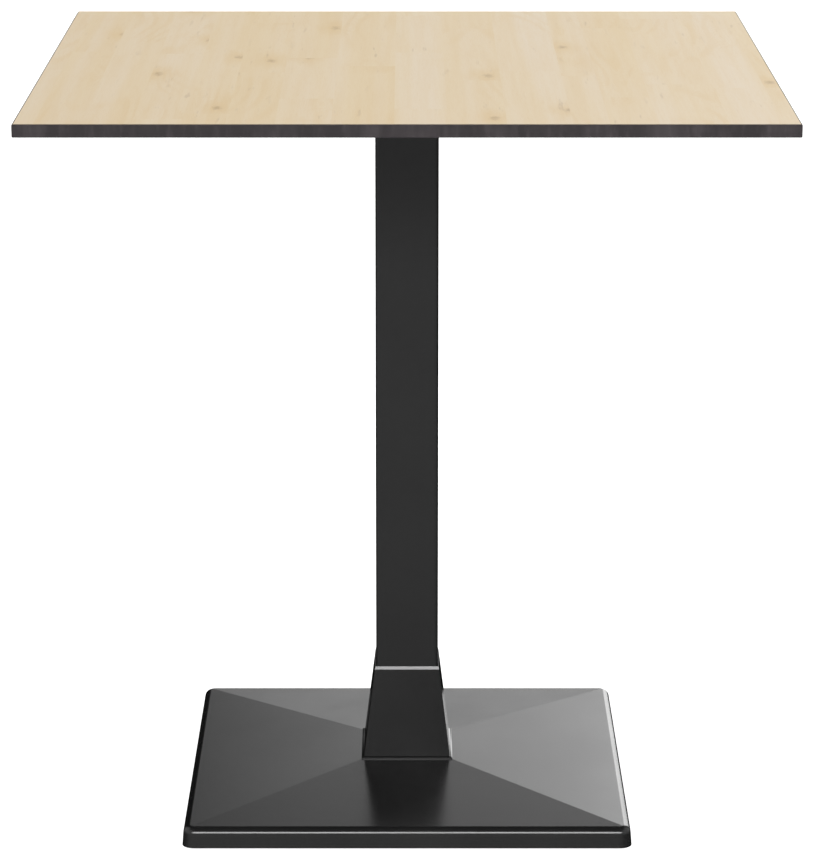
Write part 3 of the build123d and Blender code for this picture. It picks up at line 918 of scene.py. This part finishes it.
class BISTRO_OT_glides(bpy.types.Operator):
    """Turn the four levelling glides: nylon pads on threaded stems"""

    bl_idname = "bistro.glides"
    bl_label = "Levelling glides"

    def execute(self, context):
        sizes = context.scene.bistro_hardware
        for corner in CORNERS:
            pad_node = "glide_pad_" + corner
            x, y = middle(pad_node)
            low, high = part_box(pad_node)
            rim = high.x - x
            hub = sizes.pad_hub_diameter / 2
            bore = sizes.journal_diameter / 2 + 0.1 * MM
            outline = [(0.0, sizes.pad_floor), (0.0, PAD_GROOVE)]
            for ring in PAD_RINGS:
                outline += [
                    (ring * MM, PAD_GROOVE), ((ring + 0.35) * MM, 0.0),
                    ((ring + 1.85) * MM, 0.0), ((ring + 2.2) * MM, PAD_GROOVE),
                ]
            flat = len(outline)
            outline += [
                (rim - 1.4 * MM, PAD_GROOVE),
                (rim, PAD_GROOVE + 1.2 * MM),
                (rim, sizes.pad_thickness),
                (hub + 1.2 * MM, sizes.pad_thickness),
                (hub, high.z),
                (bore, high.z),
                (bore, sizes.pad_floor),
            ]
            roundings = {1: 0.4 * MM, 2: 1.2 * MM, 4: 0.4 * MM, 5: 0.2 * MM}
            roundings = {flat + index: radius for index, radius in roundings.items()}
            bm = turned(outline, 56, roundings)
            bmesh.ops.translate(bm, verts=bm.verts, vec=(x, y, 0))
            close_up(bm)
            add_piece("nylon_pad_" + corner, bm, "pad_" + corner, "glide_nylon", pad_node)

            stem_node = "glide_stem_" + corner
            low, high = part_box(stem_node)
            collar_top = sizes.journal_top + sizes.collar_height
            bm = hexagon(sizes.collar_width, sizes.journal_top, collar_top)
            journal = sizes.journal_diameter / 2
            end = sizes.journal_top + 0.2 * MM
            post = ((0.0, low.z), (journal, low.z), (journal, end), (0.0, end))
            join(bm, turned(post, sizes.steps, {1: 0.4 * MM}))
            radius = sizes.stem_diameter / 2
            start = collar_top - 0.2 * MM
            join(bm, thread(radius, sizes.stem_pitch, start, high.z, 24, MM))
            bmesh.ops.translate(bm, verts=bm.verts, vec=(x, y, 0))
            close_up(bm, 25.0)
            name = "levelling_stem_" + corner
            add_piece(name, bm, "stem_" + corner, "zinc_steel", stem_node)
        return {"FINISHED"}


class BISTRO_OT_studio(bpy.types.Operator):
    """Lay the floor, hang the softboxes and set up the camera"""

    bl_idname = "bistro.studio"
    bl_label = "Studio"

    def execute(self, context):
        scene = context.scene
        studio = scene.bistro_studio
        lens = bpy.data.cameras.new("studio_camera")
        lens.lens = studio.lens
        lens.sensor_width = 36.0
        lens.shift_y = CAMERA_SHIFT
        lens.clip_end = 100.0
        camera = bpy.data.objects.new("studio_camera", lens)
        camera.location = CAMERA_PLACE
        camera.rotation_euler = (math.pi / 2 - studio.pitch, 0.0, 0.0)
        scene.collection.objects.link(camera)
        scene.camera = camera
        scene.view_settings.view_transform = "Standard"
        bm = bmesh.new()
        bmesh.ops.create_circle(bm, cap_ends=True, segments=96, radius=FLOOR_RADIUS)
        mesh = bpy.data.meshes.new("studio_floor")
        bm.to_mesh(mesh)
        bm.free()
        floor = bpy.data.objects.new("studio_floor", mesh)
        scene.collection.objects.link(floor)
        shader = material("studio_floor")[1]
        shader.inputs["Base Color"].default_value = opaque(studio.floor)
        shader.inputs["Roughness"].default_value = 0.9
        shader.inputs["Emission Color"].default_value = (1.0, 1.0, 1.0, 1.0)
        shader.inputs["Emission Strength"].default_value = studio.floor_glow
        mesh.materials.append(bpy.data.materials["studio_floor"])
        floor.visible_glossy = False
        self.light(scene, studio)
        return {"FINISHED"}

    def light(self, scene, studio):
        """Hangs the softboxes. The camera itself sees plain white behind the table."""
        build_softbox_group()
        world = bpy.data.worlds.new("studio_light")
        world.use_nodes = True
        scene.world = world
        tree = world.node_tree
        tree.nodes.clear()
        way = tree.nodes.new("ShaderNodeTexCoord").outputs["Generated"]
        facing = put(tree, "ShaderNodeSeparateXYZ", {0: way}).outputs
        bearing = sums(tree, "DEGREES", sums(tree, "ARCTAN2", facing["X"], facing["Y"]))
        height = sums(tree, "DEGREES", sums(tree, "ARCSINE", facing["Z"]))
        names = ("Centre", "Half width", "Edge", "Level", "Half height", "Rim")
        total = 0.0
        for strength, *box in SOFTBOXES:
            links = {"Bearing": bearing, "Height": height, **dict(zip(names, box))}
            links["Strength"] = getattr(studio, strength)
            total = sums(tree, "ADD", use_group(tree, "Softbox", links)["Light"], total)
        seen = put(tree, "ShaderNodeLightPath").outputs["Is Camera Ray"]
        links = {"Factor": seen, 2: total, 3: 1.0}
        strength = put(tree, "ShaderNodeMix", links, data_type="FLOAT").outputs[0]
        links = {"Color": (1, 1, 1, 1), "Strength": strength}
        shade = put(tree, "ShaderNodeBackground", links)
        put(tree, "ShaderNodeOutputWorld", {"Surface": shade.outputs[0]})


class BISTRO_PT_panel(bpy.types.Panel):
    """The table's sizes, colours and pieces in the sidebar"""

    bl_idname = "BISTRO_PT_panel"
    bl_label = "Bistro table"
    bl_space_type = "VIEW_3D"
    bl_region_type = "UI"
    bl_category = "Bistro table"

    def draw(self, context):
        layout = self.layout
        scene = context.scene
        for group in (scene.bistro_colours, scene.bistro_hardware, scene.bistro_studio):
            box = layout.box()
            for name in group.__annotations__:
                box.prop(group, name)
        for operator in OPERATORS:
            layout.operator(operator.bl_idname)


OPERATORS = (
    BISTRO_OT_finishes,
    BISTRO_OT_table_top,
    BISTRO_OT_pedestal,
    BISTRO_OT_spider,
    BISTRO_OT_tie_rod,
    BISTRO_OT_glides,
    BISTRO_OT_studio,
)
CLASSES = (BistroColours, BistroHardware, BistroStudio, *OPERATORS, BISTRO_PT_panel)


def register():
    for cls in CLASSES:
        bpy.utils.register_class(cls)
    bpy.types.Scene.bistro_colours = PointerProperty(type=BistroColours)
    bpy.types.Scene.bistro_hardware = PointerProperty(type=BistroHardware)
    bpy.types.Scene.bistro_studio = PointerProperty(type=BistroStudio)


def unregister():
    del bpy.types.Scene.bistro_studio
    del bpy.types.Scene.bistro_hardware
    del bpy.types.Scene.bistro_colours
    for cls in reversed(CLASSES):
        bpy.utils.unregister_class(cls)


def main():
    register()
    bpy.ops.bistro.finishes()
    bpy.ops.bistro.table_top()
    bpy.ops.bistro.pedestal()
    bpy.ops.bistro.spider()
    bpy.ops.bistro.tie_rod()
    bpy.ops.bistro.glides()
    bpy.ops.bistro.studio()


if __name__ == "__main__":
    main()
